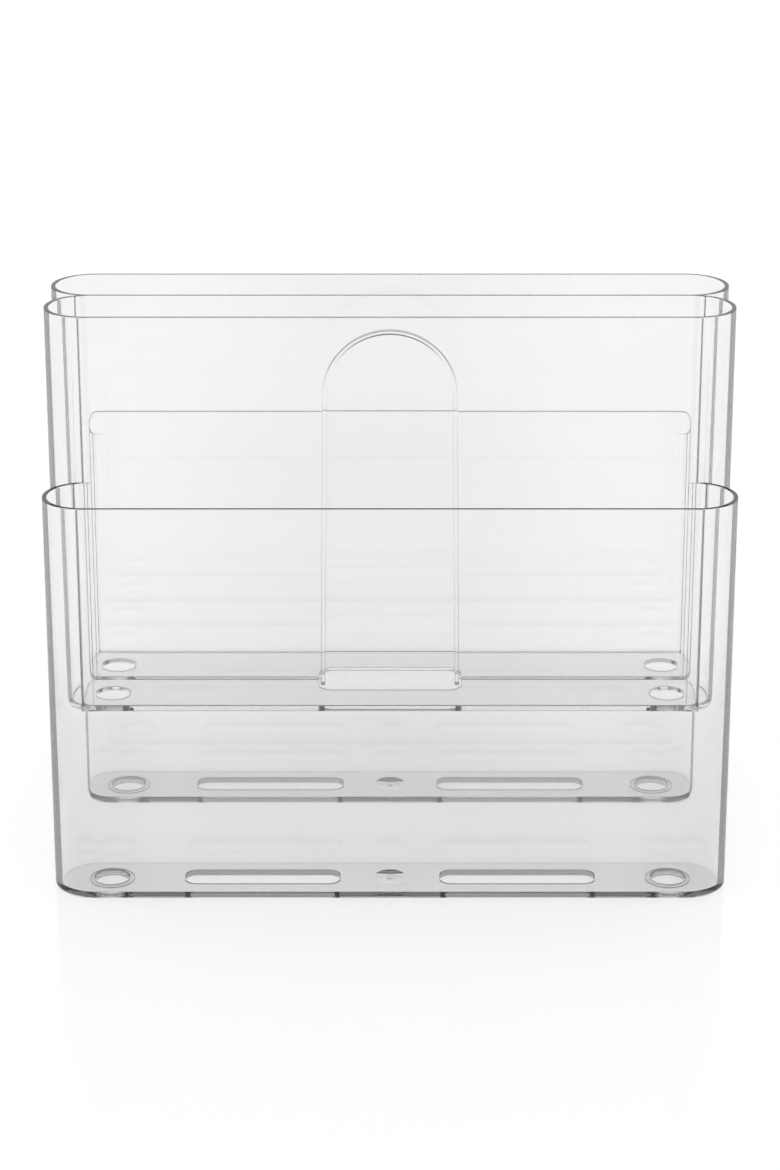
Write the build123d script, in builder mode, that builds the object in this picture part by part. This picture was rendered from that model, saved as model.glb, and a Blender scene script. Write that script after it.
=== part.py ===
# Clear plastic magazine rack: two low outer pockets, two high inner pockets on raised floors,
# a divider with an arched hand-hole, and four ring feet. Millimetres, +Z up, +X along the
# pockets, origin on the ground under the middle of the rack.
import os
from math import sqrt

from build123d import *

# Driving dimensions
length = 400.0
pocket_pitch = 47.0
wall = 2.6
low_rim_height = 244.5
high_rim_height = 344.0
high_floor_height = 104.0
low_floor = 3.8
high_floor = 2.8

# Edges: rims are eased, as far as their wall allows, floors meet the walls in a small cove,
# the base is rounded, and the high floors are tucked in round their ends
rim_ease = min(0.8, 0.3 * wall)
floor_cove = 1.8
base_round = 2.4
tuck = 1.6

# The round ends grow thicker towards the floor, and the groove between two ends is filleted
end_draft = 1.2
groove_round = 1.6

# Round floor holes, with the feet under those of the low pockets
hole_diameter = 20.6
hole_inset = 33.8

# Ring feet, let into the underside of the low floors
foot_height = 0.4
foot_recess = 1.6
foot_lip = 3.2
foot_clearance = 0.1

# Long slots and moulding dimple in the low floors
slot_start = 30.0
slot_to_hole = 44.2
slot_width = 18.0
slot_corner = 7.0
dimple_diameter = 20.6
dimple_depth = 1.2
gate_diameter = 3.4
gate_height = 0.7

# Hand-hole in the divider, its collar, and the floor slot below it
hand_hole_width = 77.0
grip_height = 25.0
collar_wall = 2.7
collar_top_depth = 5.0
collar_foot_depth = 9.0
collar_ease = 0.8
handle_slot_gap = 1.7
handle_slot_depth = 36.0
handle_slot_corner = 9.0

# Sizes that follow from them
pocket_depth = pocket_pitch + wall
inner_length = length - 2 * wall
floor_length = inner_length - 2 * end_draft
inner_depth = pocket_depth - 2 * wall
straight_half = (length - pocket_depth) / 2
end_radius = pocket_depth / 2
panel_half = straight_half - end_draft
low_centre = -1.5 * pocket_pitch
high_centre = -0.5 * pocket_pitch
shared_wall = -pocket_pitch
low_floor_height = foot_height + low_floor
seat_height = high_floor_height - high_floor
groove_reach = sqrt((end_radius + groove_round) ** 2 - (pocket_pitch / 2) ** 2)
groove_x = straight_half + groove_reach
web_reach = groove_reach * end_radius / (end_radius + groove_round)
web_length = web_reach / 2
web_x = straight_half + web_reach - web_length / 2
web_width = pocket_pitch * groove_round / (end_radius + groove_round)
hole_x = length / 2 - hole_inset
slot_end = hole_x - slot_to_hole
slot_length = slot_end - slot_start
slot_x = (slot_start + slot_end) / 2
foot_diameter = hole_diameter + 2 * foot_lip
recess_diameter = foot_diameter + 2 * foot_clearance
recess_height = foot_height + foot_recess
hand_hole_top = high_rim_height - grip_height
arch_centre = hand_hole_top - hand_hole_width / 2
collar_width = hand_hole_width + 2 * collar_wall
handle_slot_length = collar_width + 2 * handle_slot_gap


def inside_sections(floor_height, rim_height):
    # Height, length and depth of a pocket's inside, from its cove up to its eased rim
    return (
        (floor_height, floor_length - 2 * floor_cove, inner_depth - 2 * floor_cove),
        (floor_height + floor_cove, floor_length, inner_depth),
        (rim_height - rim_ease, inner_length, inner_depth),
        (rim_height, inner_length + 2 * rim_ease, inner_depth + 2 * rim_ease),
    )


def groove_webs(groove):
    # Outline of the webs that fill a groove at both ends, with a hollow outer face
    with Locations((-web_x, groove), (web_x, groove)):
        Rectangle(web_length, web_width)
    with Locations((-groove_x, groove), (groove_x, groove)):
        Circle(groove_round, mode=Mode.SUBTRACT)


# Low pocket: a tub whose back wall stops under the high pocket that stands on it
with BuildPart() as front_low_pocket:
    with BuildSketch(Plane.XY.offset(foot_height)):
        with Locations((0, low_centre)):
            SlotOverall(length, pocket_depth)
    extrude(amount=low_rim_height - foot_height)
    fillet(front_low_pocket.edges().group_by(Axis.Z)[0], base_round)
    chamfer(front_low_pocket.edges().group_by(Axis.Z)[-1], rim_ease)
    for height, inside_length, inside_depth in inside_sections(low_floor_height, low_rim_height):
        with BuildSketch(Plane.XY.offset(height)):
            with Locations((0, low_centre)):
                SlotOverall(inside_length, inside_depth)
    loft(ruled=True, mode=Mode.SUBTRACT)
    with BuildSketch(Plane.XY.offset(seat_height)):
        groove_webs(shared_wall)
    extrude(amount=low_rim_height - rim_ease - seat_height)

    # Above the seat the back is open, and the ends lap half of the high pocket's wall
    with BuildSketch(Plane.XY.offset(seat_height)):
        with Locations((0, low_centre)):
            Rectangle(2 * panel_half, pocket_pitch, align=(Align.CENTER, Align.MIN))
        with Locations((0, shared_wall)):
            Rectangle(length, pocket_pitch / 2, align=(Align.CENTER, Align.MIN))
    extrude(amount=low_rim_height - seat_height, mode=Mode.SUBTRACT)

    # Round holes and long slots through the floor, and the seats of the feet
    with BuildSketch(Plane.XY.offset(low_floor_height)):
        with Locations((-hole_x, low_centre), (hole_x, low_centre)):
            Circle(hole_diameter / 2)
        with Locations((-slot_x, low_centre), (slot_x, low_centre)):
            RectangleRounded(slot_length, slot_width, slot_corner)
    extrude(amount=-low_floor, mode=Mode.SUBTRACT)
    with BuildSketch(Plane.XY.offset(foot_height)):
        with Locations((-hole_x, low_centre), (hole_x, low_centre)):
            Circle(recess_diameter / 2)
    extrude(amount=foot_recess, mode=Mode.SUBTRACT)

    # Shallow dimple in the middle of the floor, with the stub of the gate in it
    with BuildSketch(Plane.XZ.offset(-low_centre)):
        with BuildLine():
            dimple_bottom = low_floor_height - dimple_depth
            dimple_edge = (dimple_diameter / 2, low_floor_height)
            Polyline((0, dimple_bottom), (0, low_floor_height), dimple_edge, close=True)
        make_face()
        with Locations((0, dimple_bottom)):
            Rectangle(gate_diameter, 2 * gate_height, mode=Mode.SUBTRACT)
    revolve(axis=Axis((0, low_centre, 0), (0, 0, 1)), mode=Mode.SUBTRACT)

# High pocket: a tub that stands on the low pocket's back wall, open towards the divider
with BuildPart() as front_high_pocket:
    with BuildSketch(Plane.XY.offset(seat_height)):
        with Locations((0, high_centre)):
            SlotOverall(length, pocket_depth)
    extrude(amount=high_rim_height - seat_height)
    chamfer(front_high_pocket.edges().group_by(Axis.Z)[-1], rim_ease)

    # The floor is tucked in round the ends, and square where it sits on the low pocket's wall
    chamfer(front_high_pocket.edges().group_by(Axis.Z)[0], tuck)
    with BuildSketch(Plane.XY.offset(seat_height)):
        with Locations((0, shared_wall)):
            Rectangle(2 * straight_half, wall)
    extrude(amount=tuck)

    for height, inside_length, inside_depth in inside_sections(high_floor_height, high_rim_height):
        with BuildSketch(Plane.XY.offset(height)):
            with Locations((0, high_centre)):
                SlotOverall(inside_length, inside_depth)
    loft(ruled=True, mode=Mode.SUBTRACT)
    with BuildSketch(Plane.XY.offset(seat_height + tuck)):
        groove_webs(0)
    extrude(amount=high_rim_height - rim_ease - seat_height - tuck)
    with BuildSketch(Plane.XY.offset(seat_height + tuck)):
        groove_webs(shared_wall)
    extrude(amount=low_rim_height - rim_ease - seat_height - tuck)

    # The two halves meet on the centre plane, and the divider stands between their ends
    split(bisect_by=Plane.XZ, keep=Keep.TOP)
    with BuildSketch(Plane.XY.offset(high_floor_height)):
        with Locations((0, -wall / 2)):
            Rectangle(2 * panel_half, wall, align=(Align.CENTER, Align.MIN))
    extrude(amount=high_rim_height - high_floor_height, mode=Mode.SUBTRACT)

    # Up to the low rim, the ends are lapped by the low pocket
    with BuildSketch(Plane.XY.offset(seat_height)):
        with Locations((panel_half, shared_wall)):
            Rectangle(pocket_depth, wall, align=(Align.MIN, Align.MAX))
        with Locations((-panel_half, shared_wall)):
            Rectangle(pocket_depth, wall, align=(Align.MAX, Align.MAX))
    extrude(amount=low_rim_height - seat_height, mode=Mode.SUBTRACT)

    # Round holes, and half of the slot below the hand-hole, which ends the cove by the divider
    with BuildSketch(Plane.XY.offset(seat_height)):
        with Locations((-hole_x, high_centre), (hole_x, high_centre)):
            Circle(hole_diameter / 2)
        RectangleRounded(handle_slot_length, handle_slot_depth, handle_slot_corner)
    extrude(amount=high_floor + floor_cove, mode=Mode.SUBTRACT)

# Divider: a flat panel between the ends of the high pockets, with the hand-hole's collar
with BuildPart() as collar:
    with BuildSketch(Plane.XZ):
        with Locations((0, seat_height)):
            Rectangle(collar_width, arch_centre - seat_height, align=(Align.CENTER, Align.MIN))
        with Locations((0, arch_centre)):
            Circle(collar_width / 2)
    extrude(amount=collar_foot_depth / 2, both=True)
    with BuildSketch(Plane.YZ):
        with BuildLine():
            collar_top = hand_hole_top + collar_wall
            foot_half = collar_foot_depth / 2
            top_half = collar_top_depth / 2
            Polyline((-foot_half, seat_height), (foot_half, seat_height), (top_half, collar_top),
                     (-top_half, collar_top), close=True)
        make_face()
    extrude(amount=collar_width / 2, both=True, mode=Mode.INTERSECT)

with BuildPart() as handle_panel:
    with BuildSketch(Plane.XZ):
        with Locations((0, high_floor_height)):
            Rectangle(2 * panel_half, high_rim_height - high_floor_height,
                      align=(Align.CENTER, Align.MIN))
    extrude(amount=wall / 2, both=True)
    chamfer(handle_panel.edges().group_by(Axis.Z)[-1].filter_by(Axis.X), rim_ease)
    add(collar.part)
    with BuildSketch(Plane.XZ):
        with Locations((0, seat_height)):
            Rectangle(hand_hole_width, arch_centre - seat_height, align=(Align.CENTER, Align.MIN))
        with Locations((0, arch_centre)):
            Circle(hand_hole_width / 2)
    extrude(amount=collar_foot_depth, both=True, mode=Mode.SUBTRACT)
    chamfer(handle_panel.edges(Select.LAST).filter_by(Axis.Y, reverse=True), collar_ease)

# The rear pockets are the front mouldings turned half round
with BuildPart() as rear_low_pocket:
    add(front_low_pocket.part, rotation=(0, 0, 180))

with BuildPart() as rear_high_pocket:
    add(front_high_pocket.part, rotation=(0, 0, 180))

pieces = {
    "front_low_pocket": front_low_pocket,
    "rear_low_pocket": rear_low_pocket,
    "front_high_pocket": front_high_pocket,
    "rear_high_pocket": rear_high_pocket,
    "handle_panel": handle_panel,
}

# Feet: rings round the low floor holes, in their seats
foot_places = {
    "foot_front_left": (-hole_x, low_centre),
    "foot_front_right": (hole_x, low_centre),
    "foot_rear_left": (-hole_x, -low_centre),
    "foot_rear_right": (hole_x, -low_centre),
}
for foot_name, place in foot_places.items():
    with BuildPart() as foot:
        with BuildSketch():
            with Locations(place):
                Circle(foot_diameter / 2)
                Circle(hole_diameter / 2, mode=Mode.SUBTRACT)
        extrude(amount=recess_height)
    pieces[foot_name] = foot

os.makedirs("parts", exist_ok=True)
for name, piece in pieces.items():
    piece.part.label = name
    export_step(piece.part, f"parts/{name}.step")
    print(name, len(piece.part.solids()), "solid", round(piece.part.volume / 1000, 1), "cm3")
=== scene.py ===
import math

import bpy
import numpy as np
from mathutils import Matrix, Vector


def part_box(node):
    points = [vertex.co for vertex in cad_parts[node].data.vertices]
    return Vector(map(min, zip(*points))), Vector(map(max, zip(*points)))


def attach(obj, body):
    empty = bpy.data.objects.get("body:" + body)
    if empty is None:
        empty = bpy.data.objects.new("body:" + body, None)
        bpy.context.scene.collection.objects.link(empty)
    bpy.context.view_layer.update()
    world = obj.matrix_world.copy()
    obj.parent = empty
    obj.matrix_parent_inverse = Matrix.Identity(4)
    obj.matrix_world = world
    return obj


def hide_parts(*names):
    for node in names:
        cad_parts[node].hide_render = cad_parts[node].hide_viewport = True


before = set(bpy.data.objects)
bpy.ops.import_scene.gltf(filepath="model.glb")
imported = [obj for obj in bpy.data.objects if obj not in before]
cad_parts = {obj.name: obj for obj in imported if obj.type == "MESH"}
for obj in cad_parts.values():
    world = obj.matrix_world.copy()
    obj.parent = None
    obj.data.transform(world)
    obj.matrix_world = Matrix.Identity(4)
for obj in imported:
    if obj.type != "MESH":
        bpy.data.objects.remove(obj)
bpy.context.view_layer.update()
print("frame loaded")

# Main sizes, read from the frame in metres
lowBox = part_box("front_low_pocket")
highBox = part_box("front_high_pocket")
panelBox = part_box("handle_panel")
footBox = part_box("foot_front_right")
wall = lowBox[1].y - highBox[0].y
pitch = -(lowBox[1].y + highBox[0].y) / 2
endRadius = (lowBox[1].y - lowBox[0].y) / 2
straight = lowBox[1].x - endRadius
base = lowBox[0].z
seat = highBox[0].z
lowRim = lowBox[1].z
highRim = highBox[1].z
lowCentre = -1.5 * pitch
highCentre = -0.5 * pitch
holeX = (footBox[0].x + footBox[1].x) / 2
footRadius = (footBox[1].x - footBox[0].x) / 2
footTop = footBox[1].z
panelHalf = panelBox[1].x
endDraft = straight - panelHalf  # the round ends grow thicker towards the floor
mm = 0.001

plain = 0
bonded = 1
margin = 4 * mm
lead = 1 * mm  # a ring of points this close to a round keeps the faces beside it flat
roundSteps = 8
endSteps = 96
holeSteps = 16
edgeSteps = 4
collarSteps = 6
grooveSteps = 24
turnSteps = 96
dimpleSteps = 64
bowlPoints = 13
sharpAngle = 28
flatWeight = 100
slack = 0.01 * mm
grooveRound = 0.8 * mm  # fillet in the groove between two round ends


# A smooth step of a value: from one level before the first bound to the other after the second
def smoothStep(nodes, links, value, bounds, levels):
    step = nodes.new("ShaderNodeMapRange")
    step.interpolation_type = "SMOOTHSTEP"
    step.inputs["From Min"].default_value = bounds[0]
    step.inputs["From Max"].default_value = bounds[1]
    step.inputs["To Min"].default_value = levels[0]
    step.inputs["To Max"].default_value = levels[1]
    links.new(value, step.inputs["Value"])
    return step.outputs["Result"]


# One sum, product, maximum or size of values, any of which may be a plain number
def combined(nodes, links, operation, first, second):
    node = nodes.new("ShaderNodeMath")
    node.operation = operation
    for socket, value in zip(node.inputs, (first, second)):
        if isinstance(value, bpy.types.NodeSocket):
            links.new(value, socket)
        else:
            socket.default_value = value
    return node.outputs["Value"]


# Values of the moulded skin that all the plastics share
skinStyle = {
    "rippleDetail": 1.0, "drawDetail": 3.0, "drawStretch": (1.0, 1.0, 0.02), "cloudScale": 14.0,
    "cloudDetail": 4.0, "cloudLow": 0.35, "cloudHigh": 0.7,
}


# Moulded skin, shared by the plastics: height = wide ripple + narrow lines drawn along Z by the mould,
# haze = clouds of noise between two levels, and tint = the same clouds between two colours
def mouldedSkin(style):
    group = bpy.data.node_groups.new("mouldedSkin", "ShaderNodeTree")
    sockets = [("Vector", "INPUT", "NodeSocketVector"), ("Ripple Scale", "INPUT", "NodeSocketFloat"),
               ("Draw Scale", "INPUT", "NodeSocketFloat"), ("Draw Share", "INPUT", "NodeSocketFloat"),
               ("Haze", "INPUT", "NodeSocketFloat"), ("Clear", "INPUT", "NodeSocketColor"),
               ("Dense", "INPUT", "NodeSocketColor"), ("Height", "OUTPUT", "NodeSocketFloat"),
               ("Roughness", "OUTPUT", "NodeSocketFloat"), ("Tint", "OUTPUT", "NodeSocketColor")]
    for name, way, kind in sockets:
        group.interface.new_socket(name=name, in_out=way, socket_type=kind)
    nodes = group.nodes
    links = group.links
    given = nodes.new("NodeGroupInput")
    result = nodes.new("NodeGroupOutput")
    ripple = nodes.new("ShaderNodeTexNoise")
    ripple.inputs["Detail"].default_value = style["rippleDetail"]
    links.new(given.outputs["Vector"], ripple.inputs["Vector"])
    links.new(given.outputs["Ripple Scale"], ripple.inputs["Scale"])
    stretch = nodes.new("ShaderNodeMapping")
    stretch.inputs["Scale"].default_value = style["drawStretch"]
    links.new(given.outputs["Vector"], stretch.inputs["Vector"])
    drawn = nodes.new("ShaderNodeTexNoise")
    drawn.inputs["Detail"].default_value = style["drawDetail"]
    links.new(stretch.outputs["Vector"], drawn.inputs["Vector"])
    links.new(given.outputs["Draw Scale"], drawn.inputs["Scale"])
    blend = nodes.new("ShaderNodeMix")
    blend.data_type = "FLOAT"
    links.new(given.outputs["Draw Share"], blend.inputs[0])
    links.new(ripple.outputs["Fac"], blend.inputs[2])
    links.new(drawn.outputs["Fac"], blend.inputs[3])
    links.new(blend.outputs[0], result.inputs["Height"])
    clouds = nodes.new("ShaderNodeTexNoise")
    clouds.inputs["Scale"].default_value = style["cloudScale"]
    clouds.inputs["Detail"].default_value = style["cloudDetail"]
    links.new(given.outputs["Vector"], clouds.inputs["Vector"])
    spread = nodes.new("ShaderNodeMapRange")
    spread.inputs["From Min"].default_value = style["cloudLow"]
    spread.inputs["From Max"].default_value = style["cloudHigh"]
    links.new(clouds.outputs["Fac"], spread.inputs["Value"])
    haze = combined(nodes, links, "MULTIPLY", spread.outputs["Result"], given.outputs["Haze"])
    links.new(haze, result.inputs["Roughness"])
    tint = nodes.new("ShaderNodeMix")
    tint.data_type = "RGBA"
    links.new(spread.outputs["Result"], tint.inputs[0])
    links.new(given.outputs["Clear"], tint.inputs[6])
    links.new(given.outputs["Dense"], tint.inputs[7])
    links.new(tint.outputs[2], result.inputs["Tint"])
    return group


skinGroup = mouldedSkin(skinStyle)


# Where light counts as caught inside a wall, and from which tilt a face counts as level
caughtStyle = {"caughtFrom": 0.9, "caughtTo": 1.0, "uprightTo": 0.75, "levelFrom": 0.98}


# Clear plastic: light that is caught inside an upright wall is darkened each time it is turned back, a
# painted shade for the dark surroundings, so rims and round ends show as grey lines; shadow and diffuse
# rays pass through
def clearPlastic(name, style):
    material = bpy.data.materials.new(name)
    material.use_nodes = True
    nodes = material.node_tree.nodes
    links = material.node_tree.links
    shader = nodes["Principled BSDF"]
    coord = nodes.new("ShaderNodeTexCoord")
    skin = nodes.new("ShaderNodeGroup")
    skin.node_tree = skinGroup
    skin.inputs["Ripple Scale"].default_value = style["rippleScale"]
    skin.inputs["Draw Scale"].default_value = style["drawScale"]
    skin.inputs["Draw Share"].default_value = style["drawShare"]
    skin.inputs["Haze"].default_value = style["haze"]
    skin.inputs["Clear"].default_value = (*style["clear"], 1.0)
    skin.inputs["Dense"].default_value = (*style["dense"], 1.0)
    bump = nodes.new("ShaderNodeBump")
    bump.inputs["Strength"].default_value = 1.0
    bump.inputs["Distance"].default_value = style["bump"]
    links.new(coord.outputs["Object"], skin.inputs["Vector"])
    links.new(skin.outputs["Height"], bump.inputs["Height"])
    links.new(bump.outputs["Normal"], shader.inputs["Normal"])
    links.new(skin.outputs["Tint"], shader.inputs["Base Color"])
    links.new(skin.outputs["Roughness"], shader.inputs["Roughness"])
    shader.inputs["IOR"].default_value = style["ior"]
    shader.inputs["Transmission Weight"].default_value = 1.0
    fresnel = nodes.new("ShaderNodeFresnel")
    fresnel.inputs["IOR"].default_value = style["ior"]
    # painted shade: light turned back inside a wall is darkened, standing in for dark surroundings seen
    # in rims and ends
    caught = nodes.new("ShaderNodeMapRange")
    caught.inputs["From Min"].default_value = caughtStyle["caughtFrom"]
    caught.inputs["From Max"].default_value = caughtStyle["caughtTo"]
    caught.inputs["To Max"].default_value = style["caughtShade"]
    geometry = nodes.new("ShaderNodeNewGeometry")
    links.new(fresnel.outputs["Fac"], caught.inputs["Value"])
    inside = combined(nodes, links, "MULTIPLY", caught.outputs["Result"],
                      geometry.outputs["Backfacing"])
    split = nodes.new("ShaderNodeSeparateXYZ")
    links.new(geometry.outputs["Normal"], split.inputs["Vector"])
    level = combined(nodes, links, "ABSOLUTE", split.outputs["Z"], 0.0)
    # level faces take only their own share of this painted shade
    upright = nodes.new("ShaderNodeMapRange")
    upright.inputs["From Min"].default_value = caughtStyle["uprightTo"]
    upright.inputs["From Max"].default_value = caughtStyle["levelFrom"]
    upright.inputs["To Min"].default_value = 1.0
    upright.inputs["To Max"].default_value = style["levelShade"]
    links.new(level, upright.inputs["Value"])
    caughtShadeShare = combined(nodes, links, "MULTIPLY", inside, upright.outputs["Result"])
    dim = nodes.new("ShaderNodeMixShader")
    links.new(caughtShadeShare, dim.inputs["Fac"])
    links.new(shader.outputs["BSDF"], dim.inputs[1])
    path = nodes.new("ShaderNodeLightPath")
    passing = combined(nodes, links, "MAXIMUM", path.outputs["Is Shadow Ray"],
                       path.outputs["Is Diffuse Ray"])
    veil = nodes.new("ShaderNodeBsdfTransparent")
    veil.inputs["Color"].default_value = (*style["veil"], 1.0)
    mix = nodes.new("ShaderNodeMixShader")
    links.new(passing, mix.inputs["Fac"])
    links.new(dim.outputs["Shader"], mix.inputs[1])
    links.new(veil.outputs["BSDF"], mix.inputs[2])
    links.new(mix.outputs["Shader"], nodes["Material Output"].inputs["Surface"])
    return material


# Bond: alpha = 0, because two mouldings that are welded show no surface between them
def bondMaterial():
    material = bpy.data.materials.new("clearBond")
    material.use_nodes = True
    material.node_tree.nodes["Principled BSDF"].inputs["Alpha"].default_value = 0.0
    return material


# Painted shade in the plastics: light caught in upright walls is darkened by the first share, and level
# faces take the second share of it
bodyStyle = {
    "clear": (0.995, 0.995, 0.995), "dense": (0.988, 0.99, 0.99), "haze": 0.012, "ior": 1.55,
    "rippleScale": 28.0, "drawScale": 260.0, "drawShare": 0.35, "bump": 6e-6,
    "caughtShade": 0.62, "levelShade": 0.03, "veil": (0.935, 0.935, 0.935),
}
footMatStyle = {
    "clear": (0.985, 0.985, 0.985), "dense": (0.96, 0.965, 0.965), "haze": 0.06, "ior": 1.5,
    "rippleScale": 120.0, "drawScale": 500.0, "drawShare": 0.1, "bump": 8e-6,
    "caughtShade": 0.56, "levelShade": 0.0, "veil": (0.955, 0.955, 0.955),
}
# Shaded copy of the body plastic: the low mouldings' floors get more painted shade, standing in for the
# shadow where they stand on the table
lowShadedStyle = {**bodyStyle, "levelShade": 0.45}
panelShadedStyle = {**bodyStyle, "levelShade": 0.85}  # shaded copy: the collar's level faces get almost the walls' full painted shade
bodyPlastic = clearPlastic("clearBody", bodyStyle)
lowShadedPlastic = clearPlastic("clearLowBodyShaded", lowShadedStyle)
panelShadedPlastic = clearPlastic("clearPanelShaded", panelShadedStyle)
footPlastic = clearPlastic("clearFoot", footMatStyle)
bond = bondMaterial()


# A mesh from points and faces, with the plastic in slot 0, the bond in slot 1 and one index for all
def newObject(name, verts, faces, material=plain, plastic=bodyPlastic):
    mesh = bpy.data.meshes.new(name)
    mesh.from_pydata(np.asarray(verts).tolist(), [], faces)
    mesh.materials.append(plastic)
    mesh.materials.append(bond)
    mesh.polygons.foreach_set("material_index", np.full(len(mesh.polygons), material, dtype=np.int32))
    piece = bpy.data.objects.new(name, mesh)
    bpy.context.scene.collection.objects.link(piece)
    return piece


# Points of an arc: centre + radius * (cosine, sine) of evenly spaced angles in degrees
def arc(centre, radius, start, end, steps=roundSteps):
    angle = np.radians(np.linspace(start, end, steps + 1))
    return np.column_stack([centre[0] + radius * np.cos(angle), centre[1] + radius * np.sin(angle)])


# Quads of a grid: point = row * columns + column, each joined to the next row and the next column,
# round to the first again where the grid is closed
def gridFaces(rows, columns, wrapRows, wrapColumns):
    lastRow = rows if wrapRows else rows - 1
    lastColumn = columns if wrapColumns else columns - 1
    i, j = np.meshgrid(np.arange(lastRow), np.arange(lastColumn), indexing="ij")
    nextI = (i + 1) % rows
    nextJ = (j + 1) % columns
    corners = [i * columns + j, nextI * columns + j, nextI * columns + nextJ, i * columns + nextJ]
    return np.stack([c.ravel() for c in corners], axis=1).tolist()


# A closed outline carried from its first ring to its last: quads between the rings, and the two ends
def sweptFaces(rings, count):
    sides = [f[::-1] for f in gridFaces(rings, count, False, True)]
    return sides + [list(range(count))[::-1], list(range((rings - 1) * count, rings * count))]


# Stations round a round-ended outline, anticlockwise, with one close to each end of the straights
def endTrack():
    turn = np.linspace(-90, 90, endSteps + 1)
    inner = straight - 2 * lead
    centreX = np.concatenate([np.full(endSteps + 1, straight), [inner, -inner],
                              np.full(endSteps + 1, -straight), [-inner, inner]])
    angle = np.radians(np.concatenate([turn, [90, 90], turn + 180, [270, 270]]))
    return centreX, np.cos(angle), np.sin(angle)


# A closed tub: a profile of inset and height goes from the underside up the outer wall, over the
# rim and down to the floor at every station
def tub(name, centreY, inset, height, taper, plastic=bodyPlastic):
    centreX, cosine, sine = endTrack()
    stations = len(centreX)
    height = np.broadcast_to(height, (stations, height.shape[-1]))
    inset = inset + taper * np.abs(cosine)[:, None]
    radius = endRadius - inset
    x = centreX[:, None] + radius * cosine[:, None]
    y = centreY + radius * sine[:, None]
    verts = np.stack([x, y, height], axis=2).reshape(-1, 3)
    columns = inset.shape[1]
    faces = gridFaces(stations, columns, True, False)
    under = np.arange(stations)[::-1] * columns
    floor = np.arange(stations) * columns + columns - 1
    faces += [under.tolist(), floor.tolist()]
    return newObject(name, verts, faces, plastic=plastic)


# A wall's section as inset and height: the given foot, a straight outer face, a rim of two quarter
# rounds, a straight inner face and a cove down to the floor; the taper is the ends' extra thickness,
# which grows from nothing at the rim to its full share at the floor
def tubProfile(foot, rim, floorTop, rimRound, cove):
    parts = [
        foot,
        [[0, rim - rimRound - lead]],
        arc((rimRound, rim - rimRound), rimRound, 180, 90),
        arc((wall - rimRound, rim - rimRound), rimRound, 90, 0),
        [[wall, rim - rimRound - lead], [wall, floorTop + cove + lead]],
        arc((wall + cove, floorTop + cove), cove, 180, 270),
    ]
    profile = np.vstack(parts)
    innerCount = roundSteps + 3  # two points of the inner face and the cove's arc
    inner = np.arange(len(profile)) >= len(profile) - innerCount
    depth = np.clip((rim - rimRound - lead - profile[:, 1]) / (rim - floorTop), 0, 1)
    return profile, endDraft * depth * inner


# A box: the eight corners between a low and a high point
def block(low, high, material=bonded):
    x0, y0, z0 = low
    x1, y1, z1 = high
    verts = [(x0, y0, z0), (x1, y0, z0), (x1, y1, z0), (x0, y1, z0),
             (x0, y0, z1), (x1, y0, z1), (x1, y1, z1), (x0, y1, z1)]
    faces = [(3, 2, 1, 0), (4, 5, 6, 7), (0, 1, 5, 4), (1, 2, 6, 5), (2, 3, 7, 6), (3, 0, 4, 7)]
    return newObject("cutter", verts, faces, material)


# A rounded rectangle: four quarter arcs about the inset corners, their radius plus the growth
def roundedOutline(halfX, halfY, corner, grow):
    x = halfX - corner
    y = halfY - corner
    radius = corner + grow
    quarters = [arc((x, -y), radius, -90, 0, holeSteps), arc((x, y), radius, 0, 90, holeSteps),
                arc((-x, y), radius, 90, 180, holeSteps), arc((-x, -y), radius, 180, 270, holeSteps)]
    return np.vstack(quarters)


# A hole through a floor: its rounded outline carried up Z, grown by a quarter round at each face
def floorCutter(centre, bottom, top, halfX, halfY, corner, edge):
    flare = arc((edge, 0), edge, 180, 90, edgeSteps)
    down = [(edge, bottom - margin)] + [(o, bottom + edge - h) for o, h in flare[::-1]]
    up = [(o, top - edge + h) for o, h in flare] + [(edge, top + margin)]
    rings = []
    for grow, level in down + up:
        outline = roundedOutline(halfX, halfY, corner, grow) + np.asarray(centre)
        rings.append(np.column_stack([outline, np.full(len(outline), level)]))
    return newObject("cutter", np.vstack(rings), sweptFaces(len(rings), len(rings[0])))


# Webs that fill the bottom of the groove between two round ends: a prism whose outer face is a
# hollow fillet that touches both ends
def grooveWebs(groove, bottom, top):
    reach = np.sqrt((endRadius + grooveRound) ** 2 - (pitch / 2) ** 2)
    half = np.degrees(np.arcsin(pitch / 2 / (endRadius + grooveRound)))
    fillet = arc((straight + reach, groove), grooveRound, 180 + half, 180 - half, grooveSteps)
    root = straight + reach / 2
    outline = np.vstack([[[root, fillet[-1, 1]]], [[root, fillet[0, 1]]], fillet])
    webs = []
    for side in (1, -1):
        ring = outline if side > 0 else (outline * (-1, 1))[::-1]
        count = len(ring)
        low = np.column_stack([ring, np.full(count, bottom)])
        high = np.column_stack([ring, np.full(count, top)])
        webs.append(newObject("web", np.vstack([low, high]), sweptFaces(2, count)))
    return webs


# A turned shape: radius * (cosine, sine) of the angle about an upright axis, with the profile's height
def turned(name, profile, centre, steps, closed, plastic=bodyPlastic):
    angle = np.radians(np.linspace(0, 360, steps, endpoint=False))
    profile = np.asarray(profile)
    x = centre[0] + profile[None, :, 0] * np.cos(angle)[:, None]
    y = centre[1] + profile[None, :, 0] * np.sin(angle)[:, None]
    z = np.broadcast_to(profile[None, :, 1], x.shape)
    verts = np.stack([x, y, z], axis=2).reshape(-1, 3)
    columns = len(profile)
    faces = gridFaces(steps, columns, True, closed)
    if not closed:
        first = np.arange(steps) * columns
        faces += [first[::-1].tolist(), (first + columns - 1).tolist()]
    return newObject(name, verts, faces, plastic=plastic)


# A piece's mesh is replaced by what its modifiers make of it
def evaluated(piece):
    graph = bpy.context.evaluated_depsgraph_get()
    mesh = bpy.data.meshes.new_from_object(piece.evaluated_get(graph), depsgraph=graph)
    piece.modifiers.clear()
    old = piece.data
    piece.data = mesh
    bpy.data.meshes.remove(old)


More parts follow.
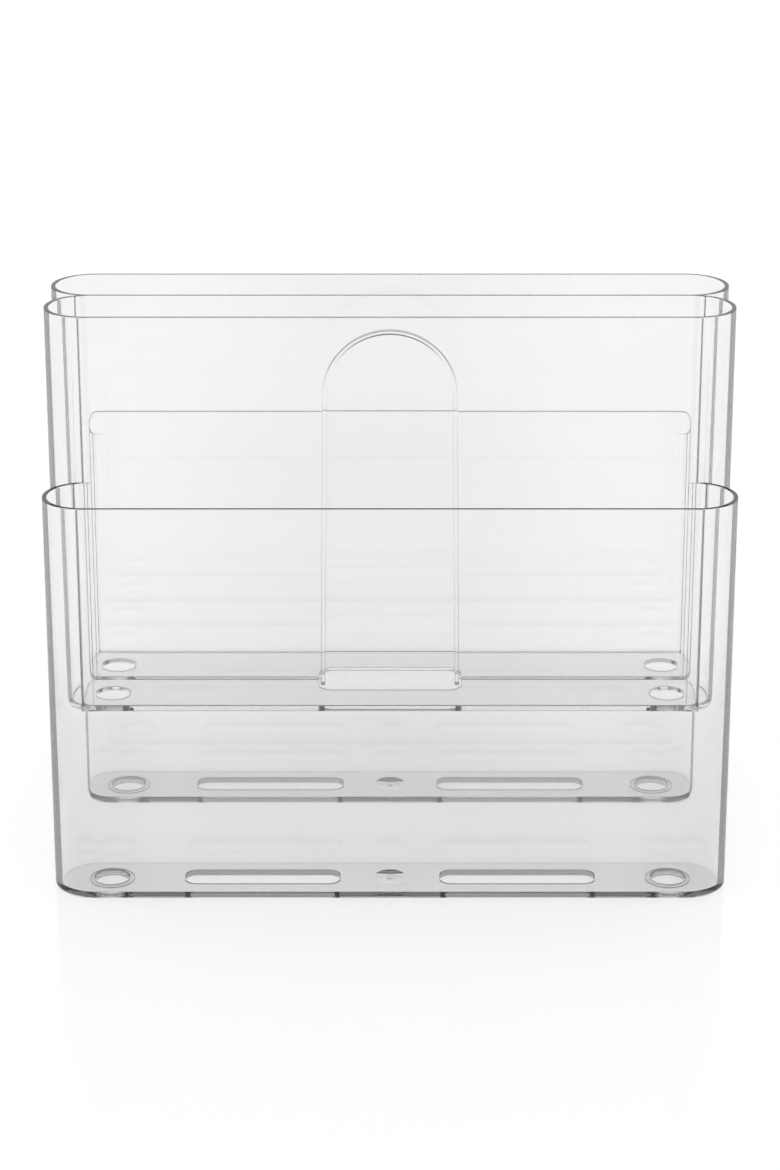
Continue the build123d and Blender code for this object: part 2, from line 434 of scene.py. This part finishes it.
# A piece joined with, or cut by, each of the others in turn, after which the others are removed
def combine(piece, others, operation="DIFFERENCE"):
    for other in others:
        step = piece.modifiers.new("combine", "BOOLEAN")
        step.operation = operation
        step.solver = "EXACT"
        step.object = other
    evaluated(piece)
    for other in others:
        mesh = other.data
        bpy.data.objects.remove(other)
        bpy.data.meshes.remove(mesh)


# Curves are smooth up to edges that turn by more than the sharp angle, and each normal is the mean of
# its faces' weighed by area, so that flat faces stay flat
def smooth(piece):
    piece.data.shade_smooth()
    piece.data.set_sharp_from_angle(angle=math.radians(sharpAngle))
    step = piece.modifiers.new("weigh", "WEIGHTED_NORMAL")
    step.mode = "FACE_AREA"
    step.weight = flatWeight
    step.keep_sharp = True
    evaluated(piece)


# The same shape half a turn about Z: x and y change sign
def halfTurn(piece, name):
    mesh = piece.data.copy()
    mesh.transform(((-1, 0, 0, 0), (0, -1, 0, 0), (0, 0, 1, 0), (0, 0, 0, 1)))
    twin = bpy.data.objects.new(name, mesh)
    bpy.context.scene.collection.objects.link(twin)
    return twin


# Each face's middle, outward direction and material index, as whole arrays
def faceArrays(mesh):
    count = len(mesh.polygons)
    centre = np.empty(3 * count)
    normal = np.empty(3 * count)
    index = np.empty(count, dtype=np.int32)
    mesh.polygons.foreach_get("center", centre)
    mesh.polygons.foreach_get("normal", normal)
    mesh.polygons.foreach_get("material_index", index)
    return centre.reshape(-1, 3), normal.reshape(-1, 3), index


# A finished piece rides on the one body and stands for its node, which is hidden
def settle(piece, node):
    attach(piece, "root")
    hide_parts(node)


# Low pockets: tub with rounded base, open at the back above the seat of the high pocket
lowStyle = {
    "floor": 3.8 * mm, "baseRound": 2.4 * mm, "rimRound": 0.4 * mm, "cove": 0.8 * mm,
    "hole": 10.3 * mm, "seatGap": 0.1 * mm, "slotStart": 30 * mm, "slotToHole": 44.2 * mm,
    "slotHalfWidth": 9 * mm, "slotCorner": 7 * mm, "edge": 0.8 * mm, "dimple": 10.3 * mm,
    "dimpleDepth": 1.2 * mm, "gate": 1.7 * mm, "gateHeight": 0.7 * mm,
}


# Tub, plus the webs of its groove, less the open back, the lap, and the holes, slots and dimple of the
# floor; the dimple is a slice of a sphere of radius (rim radius^2 + depth^2) / (2 * depth)
def lowPocket(style):
    floorTop = base + style["floor"]
    r = style["baseRound"]
    foot = np.vstack([arc((r, base + r), r, -90, -180), [[0, base + r + lead]]])
    profile, taper = tubProfile(foot, lowRim, floorTop, style["rimRound"], style["cove"])
    piece = tub("frontLowPocket", lowCentre, profile[:, 0], profile[:, 1], taper, lowShadedPlastic)
    combine(piece, grooveWebs(-pitch, seat, lowRim - style["rimRound"]), "UNION")
    back = block((-panelHalf, lowCentre, seat), (panelHalf, -pitch + margin, lowRim + margin))
    lap = block((-2 * straight, -pitch, seat), (2 * straight, -pitch + margin, lowRim + margin))
    cutters = [back, lap]
    for side in (-1, 1):
        cutters.append(floorCutter((side * holeX, lowCentre), base, floorTop, style["hole"],
                                   style["hole"], style["hole"], style["edge"]))
        ring = footRadius + style["seatGap"]
        cutters.append(turned("cutter", [[ring, base - margin], [ring, footTop]],
                              (side * holeX, lowCentre), turnSteps, False))
        slotEnd = holeX - style["slotToHole"]
        slotX = side * (style["slotStart"] + slotEnd) / 2
        cutters.append(floorCutter((slotX, lowCentre), base, floorTop, (slotEnd - style["slotStart"]) / 2,
                                   style["slotHalfWidth"], style["slotCorner"], style["edge"]))
    bottom = floorTop - style["dimpleDepth"]
    sphere = (style["dimple"] ** 2 + style["dimpleDepth"] ** 2) / (2 * style["dimpleDepth"])
    sweep = np.linspace(style["gate"], style["dimple"], bowlPoints)
    bowl = np.column_stack([sweep, bottom + sphere - np.sqrt(sphere ** 2 - sweep ** 2)])
    dimple = np.vstack([[[style["gate"], bottom + style["gateHeight"]]], bowl,
                        [[style["dimple"], floorTop + margin]]])
    cutters.append(turned("cutter", dimple, (0, lowCentre), dimpleSteps, False))
    combine(piece, cutters)
    smooth(piece)
    return piece


frontLow = lowPocket(lowStyle)
settle(frontLow, "front_low_pocket")
settle(halfTurn(frontLow, "rearLowPocket"), "rear_low_pocket")
print("low pockets made")

# High pockets: tub tucked in round the ends, square where it sits, open towards the divider
highStyle = {
    "floor": 2.8 * mm, "tuck": 1.6 * mm, "rimRound": 0.4 * mm, "cove": 1.8 * mm, "hole": 10.3 * mm,
    "edge": 0.5 * mm, "slotHalfLength": 42.9 * mm, "slotHalfDepth": 18 * mm, "slotCorner": 9 * mm,
    "seatTilt": -0.9, "seatReach": 0.1 * mm,
}


# Tub whose foot is a quarter round at the ends and square along the front, plus the webs, less the
# rear half, the divider's slot, the lap and the holes of the floor
def highPocket(style):
    floorTop = seat + style["floor"]
    r = style["tuck"]
    foot = np.vstack([[[wall, seat]], arc((r, seat + r), r, -90, -180), [[0, seat + r + lead]]])
    profile, taper = tubProfile(foot, highRim, floorTop, style["rimRound"], style["cove"])
    stations = len(endTrack()[0])
    inset = np.tile(profile[:, 0], (stations, 1))
    height = np.tile(profile[:, 1], (stations, 1))
    corner = slice(1, roundSteps + 2)
    half = roundSteps // 2
    squareInset = np.concatenate([np.linspace(r, 0, half + 1), np.zeros(half)])
    squareHeight = np.concatenate([np.full(half, seat), np.linspace(seat, seat + r, half + 1)])
    inset[-2:, corner] = squareInset
    height[-2:, corner] = squareHeight
    piece = tub("frontHighPocket", highCentre, inset, height, taper)
    webs = grooveWebs(0, seat + r, highRim - style["rimRound"])
    webs += grooveWebs(-pitch, seat, lowRim - style["rimRound"])
    combine(piece, webs, "UNION")
    far = 2 * straight
    rear = block((-far, 0, seat - margin), (far, pitch, highRim + margin))
    divider = block((-panelHalf, -wall / 2 - slack, floorTop), (panelHalf, wall, highRim + margin))
    cutters = [rear, divider]
    for side in (-1, 1):
        xs = sorted((side * (panelHalf + slack), side * far))
        cutters.append(block((xs[0], -2 * pitch, seat - margin), (xs[1], -pitch, lowRim)))
        cutters.append(floorCutter((side * holeX, highCentre), seat, floorTop, style["hole"],
                                   style["hole"], style["hole"], style["edge"]))
    cutters.append(floorCutter((0, 0), seat, floorTop, style["slotHalfLength"], style["slotHalfDepth"],
                               style["slotCorner"], style["edge"]))
    combine(piece, cutters)
    markSeat(piece, style)
    smooth(piece)
    return piece


# Faces that look down at the seat's height, within half a wall of the groove, are bonded to the wall
# that they stand on
def markSeat(piece, style):
    centre, normal, index = faceArrays(piece.data)
    strip = (normal[:, 2] < style["seatTilt"]) & (np.abs(centre[:, 2] - seat) < style["seatReach"])
    strip &= (np.abs(centre[:, 1] + pitch) < wall / 2) & (np.abs(centre[:, 0]) < straight)
    index[strip] = bonded
    piece.data.polygons.foreach_set("material_index", index)


frontHigh = highPocket(highStyle)
settle(frontHigh, "front_high_pocket")
settle(halfTurn(frontHigh, "rearHighPocket"), "rear_high_pocket")
print("high pockets made")

# Divider: plate with a rounded rim, and the collar round the hand-hole
panelStyle = {
    "handHole": 37.2 * mm, "legDraft": 2.1 * mm, "grip": 23.4 * mm, "collar": 2.6 * mm,
    "topDepth": 5 * mm, "footDepth": 9 * mm, "edge": 0.6 * mm, "outerEdge": 0.8 * mm,
    "rimRound": 0.4 * mm,
}


# Plate: a rimmed section carried along X, less the arch, plus the collar
def handlePanel(style):
    floorTop = seat + highStyle["floor"]
    coveTop = floorTop + highStyle["cove"]
    r = style["rimRound"]
    half = wall / 2
    rim = np.vstack([arc((r - half, highRim - r), r, 180, 90), arc((half - r, highRim - r), r, 90, 0)])
    profile = np.vstack([[[-half, floorTop], [-half, coveTop], [-half, highRim - r - lead]], rim,
                         [[half, highRim - r - lead], [half, coveTop], [half, floorTop]]])
    inner = highStyle["slotHalfLength"]
    stations = np.array([-panelHalf, -inner, inner, panelHalf])
    count = len(profile)
    verts = np.vstack([np.column_stack([np.full(count, x), profile]) for x in stations])
    faces = [f[::-1] for f in sweptFaces(len(stations), count)]
    plate = newObject("handlePanel", verts, faces, plastic=panelShadedPlastic)
    outer = style["handHole"] + style["collar"]
    middle = style["handHole"] + style["collar"] / 2
    top = highRim - style["grip"]
    archZ = top - style["handHole"]
    foot = middle + style["legDraft"]
    outline = np.vstack([[[-foot, seat]], arc((0, archZ), middle, 180, 0, endSteps), [[foot, seat]]])
    n = len(outline)
    front = np.column_stack([outline[:, 0], np.full(n, -wall - margin), outline[:, 1]])
    rear = np.column_stack([outline[:, 0], np.full(n, wall + margin), outline[:, 1]])
    arch = newObject("cutter", np.vstack([front, rear]), sweptFaces(2, n))
    combine(plate, [arch])
    combine(plate, [collarRing(style, archZ, outer, top)], "UNION")
    markPanel(plate, coveTop)
    smooth(plate)
    return plate


# Collar: a section with four rounded edges carried up one leg, round the arch and down the other;
# its half depth goes evenly from the foot's to the top's with height, and the legs lean in evenly by
# the draft
def collarRing(style, archZ, outer, top):
    e = style["edge"]
    inner = style["handHole"]
    angle = np.radians(np.linspace(180, 0, endSteps + 1))
    legs = np.array([seat, archZ - 2 * lead])
    centreZ = np.concatenate([legs, np.full(endSteps + 1, archZ), legs[::-1]])
    cosine = np.concatenate([[-1, -1], np.cos(angle), [1, 1]])
    sine = np.concatenate([[0, 0], np.sin(angle), [0, 0]])
    o = style["outerEdge"]
    section = np.vstack([arc((outer - o, o), o, 0, -90, collarSteps),
                         arc((inner + e, e), e, -90, -180, collarSteps)])
    across = np.concatenate([section[:, 0], section[::-1, 0]])
    inset = np.concatenate([section[:, 1], section[::-1, 1]])
    face = np.repeat([-1, 1], len(section))
    draft = style["legDraft"] * (archZ - centreZ) / (archZ - seat)
    x = (across[None, :] + draft[:, None]) * cosine[:, None]
    z = centreZ[:, None] + across[None, :] * sine[:, None]
    share = (z - seat) / (top + style["collar"] - seat)
    halfDepth = (style["footDepth"] + share * (style["topDepth"] - style["footDepth"])) / 2
    y = face[None, :] * (halfDepth - inset[None, :])
    verts = np.stack([x, y, z], axis=2).reshape(-1, 3)
    return newObject("cutter", verts, sweptFaces(*x.shape))


# The plate's foot outside the floor's slot, and its two ends, are bonded to the high pockets
def markPanel(piece, coveTop):
    centre, _, index = faceArrays(piece.data)
    away = np.abs(centre[:, 0])
    foot = (centre[:, 2] < coveTop) & (away > highStyle["slotHalfLength"])
    ends = away > panelHalf - slack
    index[foot | ends] = bonded
    piece.data.polygons.foreach_set("material_index", index)


panel = handlePanel(panelStyle)
settle(panel, "handle_panel")
print("divider made")

# Ring feet, let into the floor from below
footStyle = {"gap": 0.05 * mm, "edge": 0.25 * mm, "bore": 10.3 * mm}


# A ring: a rectangle with rounded corners, turned round the hole's axis
def ringFoot(name, centre, style):
    e = style["edge"]
    top = footTop - style["gap"] - e
    inner = style["bore"] + e
    outer = footRadius - e
    corners = ((inner, e, 180), (outer, e, 270), (outer, top, 0), (inner, top, 90))
    profile = np.vstack([arc((r, z), e, start, start + 90, edgeSteps) for r, z, start in corners])
    foot = turned(name, profile, centre, turnSteps, True, footPlastic)
    smooth(foot)
    return foot


for row, y in (("front", lowCentre), ("rear", -lowCentre)):
    for side, x in (("left", -holeX), ("right", holeX)):
        foot = ringFoot(f"foot{row.title()}{side.title()}", (x, y), footStyle)
        settle(foot, f"foot_{row}_{side}")
print("feet made")


# Stage: pale floor, white to the camera and a little greyer through the plastic, with the shadow; where
# the plastic shows it, the floor also has painted shade and light
stageStyle = {
    "seenThrough": 0.86, "seen": 1.0, "gloss": 0.09, "glossRoughness": 0.12, "roughness": 0.6,
    "half": 10.0, "paintedBehindLight": 0.003, "paintedLaneShade": 0.085, "laneShift": 0.008, "lane": (0.03, 0.22),
    "behind": (0.03, 0.16), "far": (0.75, 1.0), "farShare": 0.6, "paintedFrontLight": 0.05,
    "front": (-0.06, -0.03), "paintedEndShade": 0.1, "end": (0.13, 0.2), "near": (0.15, 0.3),
    "under": (-0.2, -0.1),
}


# Grey of the floor as the plastic shows it, with painted shade and light: grey + behind * (side gain -
# drop * lane * far)
# + front gain - end drop * near * under, where the lane is a painted shade band that runs back along Y
#   behind the middle,
# the end drop is painted shade past the ends, the side and front gains are painted light, and the rest
# are steps of Y
def floorGreyPaintedShade(nodes, links, style):
    coord = nodes.new("ShaderNodeTexCoord")
    split = nodes.new("ShaderNodeSeparateXYZ")
    links.new(coord.outputs["Object"], split.inputs["Vector"])
    x = split.outputs["X"]
    y = split.outputs["Y"]
    off = combined(nodes, links, "ADD", x, style["laneShift"])
    away = combined(nodes, links, "ABSOLUTE", off, 0.0)
    # painted shade: a darker band behind the middle of the rack, weaker far back
    drop = smoothStep(nodes, links, away, style["lane"], (-style["paintedLaneShade"], 0.0))
    far = smoothStep(nodes, links, y, style["far"], (1.0, style["farShare"]))
    behind = smoothStep(nodes, links, y, style["behind"], (0.0, 1.0))
    # painted light: the floor at the front is lighter
    front = smoothStep(nodes, links, y, style["front"], (style["paintedFrontLight"], 0.0))
    side = combined(nodes, links, "ABSOLUTE", x, 0.0)
    # painted shade: the floor just past the round ends is darker
    end = smoothStep(nodes, links, side, style["end"], (0.0, -style["paintedEndShade"]))
    near = smoothStep(nodes, links, y, style["near"], (1.0, 0.0))
    under = smoothStep(nodes, links, y, style["under"], (0.0, 1.0))
    ends = combined(nodes, links, "MULTIPLY", end, near)
    ends = combined(nodes, links, "MULTIPLY", ends, under)
    lane = combined(nodes, links, "MULTIPLY", drop, far)
    # painted light: a slight lift of the floor behind the rack
    change = combined(nodes, links, "ADD", lane, style["paintedBehindLight"])
    change = combined(nodes, links, "MULTIPLY", change, behind)
    change = combined(nodes, links, "ADD", change, front)
    change = combined(nodes, links, "ADD", change, ends)
    return combined(nodes, links, "ADD", change, style["seenThrough"])


# Floor: to the camera a matt white mixed with a weak sheen, and to other rays a pale grey with painted
# shade and light
def floorMaterial(style):
    material = bpy.data.materials.new("paleFloor")
    material.use_nodes = True
    nodes = material.node_tree.nodes
    links = material.node_tree.links
    through = nodes["Principled BSDF"]
    links.new(floorGreyPaintedShade(nodes, links, style), through.inputs["Base Color"])
    through.inputs["Roughness"].default_value = style["roughness"]
    through.inputs["Specular IOR Level"].default_value = 0.0
    matt = nodes.new("ShaderNodeBsdfDiffuse")
    matt.inputs["Color"].default_value = (*3 * [style["seen"]], 1.0)
    sheen = nodes.new("ShaderNodeBsdfGlossy")
    sheen.inputs["Color"].default_value = (1.0, 1.0, 1.0, 1.0)
    sheen.inputs["Roughness"].default_value = style["glossRoughness"]
    seen = nodes.new("ShaderNodeMixShader")
    seen.inputs["Fac"].default_value = style["gloss"]
    links.new(matt.outputs["BSDF"], seen.inputs[1])
    links.new(sheen.outputs["BSDF"], seen.inputs[2])
    path = nodes.new("ShaderNodeLightPath")
    mix = nodes.new("ShaderNodeMixShader")
    links.new(path.outputs["Is Camera Ray"], mix.inputs["Fac"])
    links.new(through.outputs["BSDF"], mix.inputs[1])
    links.new(seen.outputs["Shader"], mix.inputs[2])
    links.new(mix.outputs["Shader"], nodes["Material Output"].inputs["Surface"])
    return material


# One large square at height 0
def makeFloor(style):
    half = style["half"]
    floor = newObject("floor", [(-half, -half, 0), (half, -half, 0), (half, half, 0), (-half, half, 0)],
                      [(0, 1, 2, 3)])
    floor.data.materials.clear()
    floor.data.materials.append(floorMaterial(style))


worldStyle = {
    "white": 1.0, "sky": (0.02, 0.32), "skyLevels": (0.92, 0.38), "towards": (0.0, -0.6, 0.8),
    "lightMean": 0.56, "lightSwing": 0.94,
}


# Strength = white, for rays through the plastic a smooth fall from the horizon to the sky, and for
# the light on the floor mean + swing * cosine of the angle to the front and above
def makeWorld(style):
    world = bpy.data.worlds.new("studio")
    bpy.context.scene.world = world
    world.use_nodes = True
    nodes = world.node_tree.nodes
    links = world.node_tree.links
    background = nodes["Background"]
    coord = nodes.new("ShaderNodeTexCoord")
    split = nodes.new("ShaderNodeSeparateXYZ")
    links.new(coord.outputs["Generated"], split.inputs["Vector"])
    rise = smoothStep(nodes, links, split.outputs["Z"], style["sky"], style["skyLevels"])
    path = nodes.new("ShaderNodeLightPath")
    pick = nodes.new("ShaderNodeMix")
    pick.data_type = "FLOAT"
    links.new(path.outputs["Is Transmission Ray"], pick.inputs[0])
    pick.inputs[2].default_value = style["white"]
    links.new(rise, pick.inputs[3])
    facing = nodes.new("ShaderNodeVectorMath")
    facing.operation = "DOT_PRODUCT"
    facing.inputs[1].default_value = style["towards"]
    links.new(coord.outputs["Generated"], facing.inputs[0])
    dome = nodes.new("ShaderNodeMapRange")
    dome.inputs["From Min"].default_value = 0.0
    dome.inputs["From Max"].default_value = 1.0
    dome.clamp = False
    dome.inputs["To Min"].default_value = style["lightMean"]
    dome.inputs["To Max"].default_value = style["lightMean"] + style["lightSwing"]
    links.new(facing.outputs["Value"], dome.inputs["Value"])
    lit = nodes.new("ShaderNodeMix")
    lit.data_type = "FLOAT"
    links.new(path.outputs["Is Diffuse Ray"], lit.inputs[0])
    links.new(pick.outputs[0], lit.inputs[2])
    links.new(dome.outputs["Result"], lit.inputs[3])
    links.new(lit.outputs[0], background.inputs["Strength"])
    background.inputs["Color"].default_value = (1, 1, 1, 1)


cameraStyle = {
    "distance": 1.938, "height": 0.8801, "pitch": 20.29, "focalPixels": 3433.0, "framePixels": 1170.0,
    "sensor": 36.0,
}


# Lens = focal length in pixels / frame height in pixels * sensor, looking down by the pitch
def makeCamera(style):
    data = bpy.data.cameras.new("camera")
    data.sensor_width = style["sensor"]
    data.lens = style["focalPixels"] / style["framePixels"] * data.sensor_width
    camera = bpy.data.objects.new("camera", data)
    camera.location = (0, -style["distance"], style["height"])
    camera.rotation_euler = (math.radians(90 - style["pitch"]), 0, 0)
    bpy.context.scene.collection.objects.link(camera)
    bpy.context.scene.camera = camera


# Many walls lie behind each other, so light may turn often before it is given up
bounceStyle = {"all": 40, "through": 40, "gloss": 12, "clear": 64}
makeFloor(stageStyle)
makeWorld(worldStyle)
makeCamera(cameraStyle)
scene = bpy.context.scene
scene.view_settings.view_transform = "Standard"
scene.cycles.max_bounces = bounceStyle["all"]
scene.cycles.transmission_bounces = bounceStyle["through"]
scene.cycles.glossy_bounces = bounceStyle["gloss"]
scene.cycles.transparent_max_bounces = bounceStyle["clear"]
scene.cycles.caustics_refractive = False
scene.cycles.caustics_reflective = False
print("stage made")
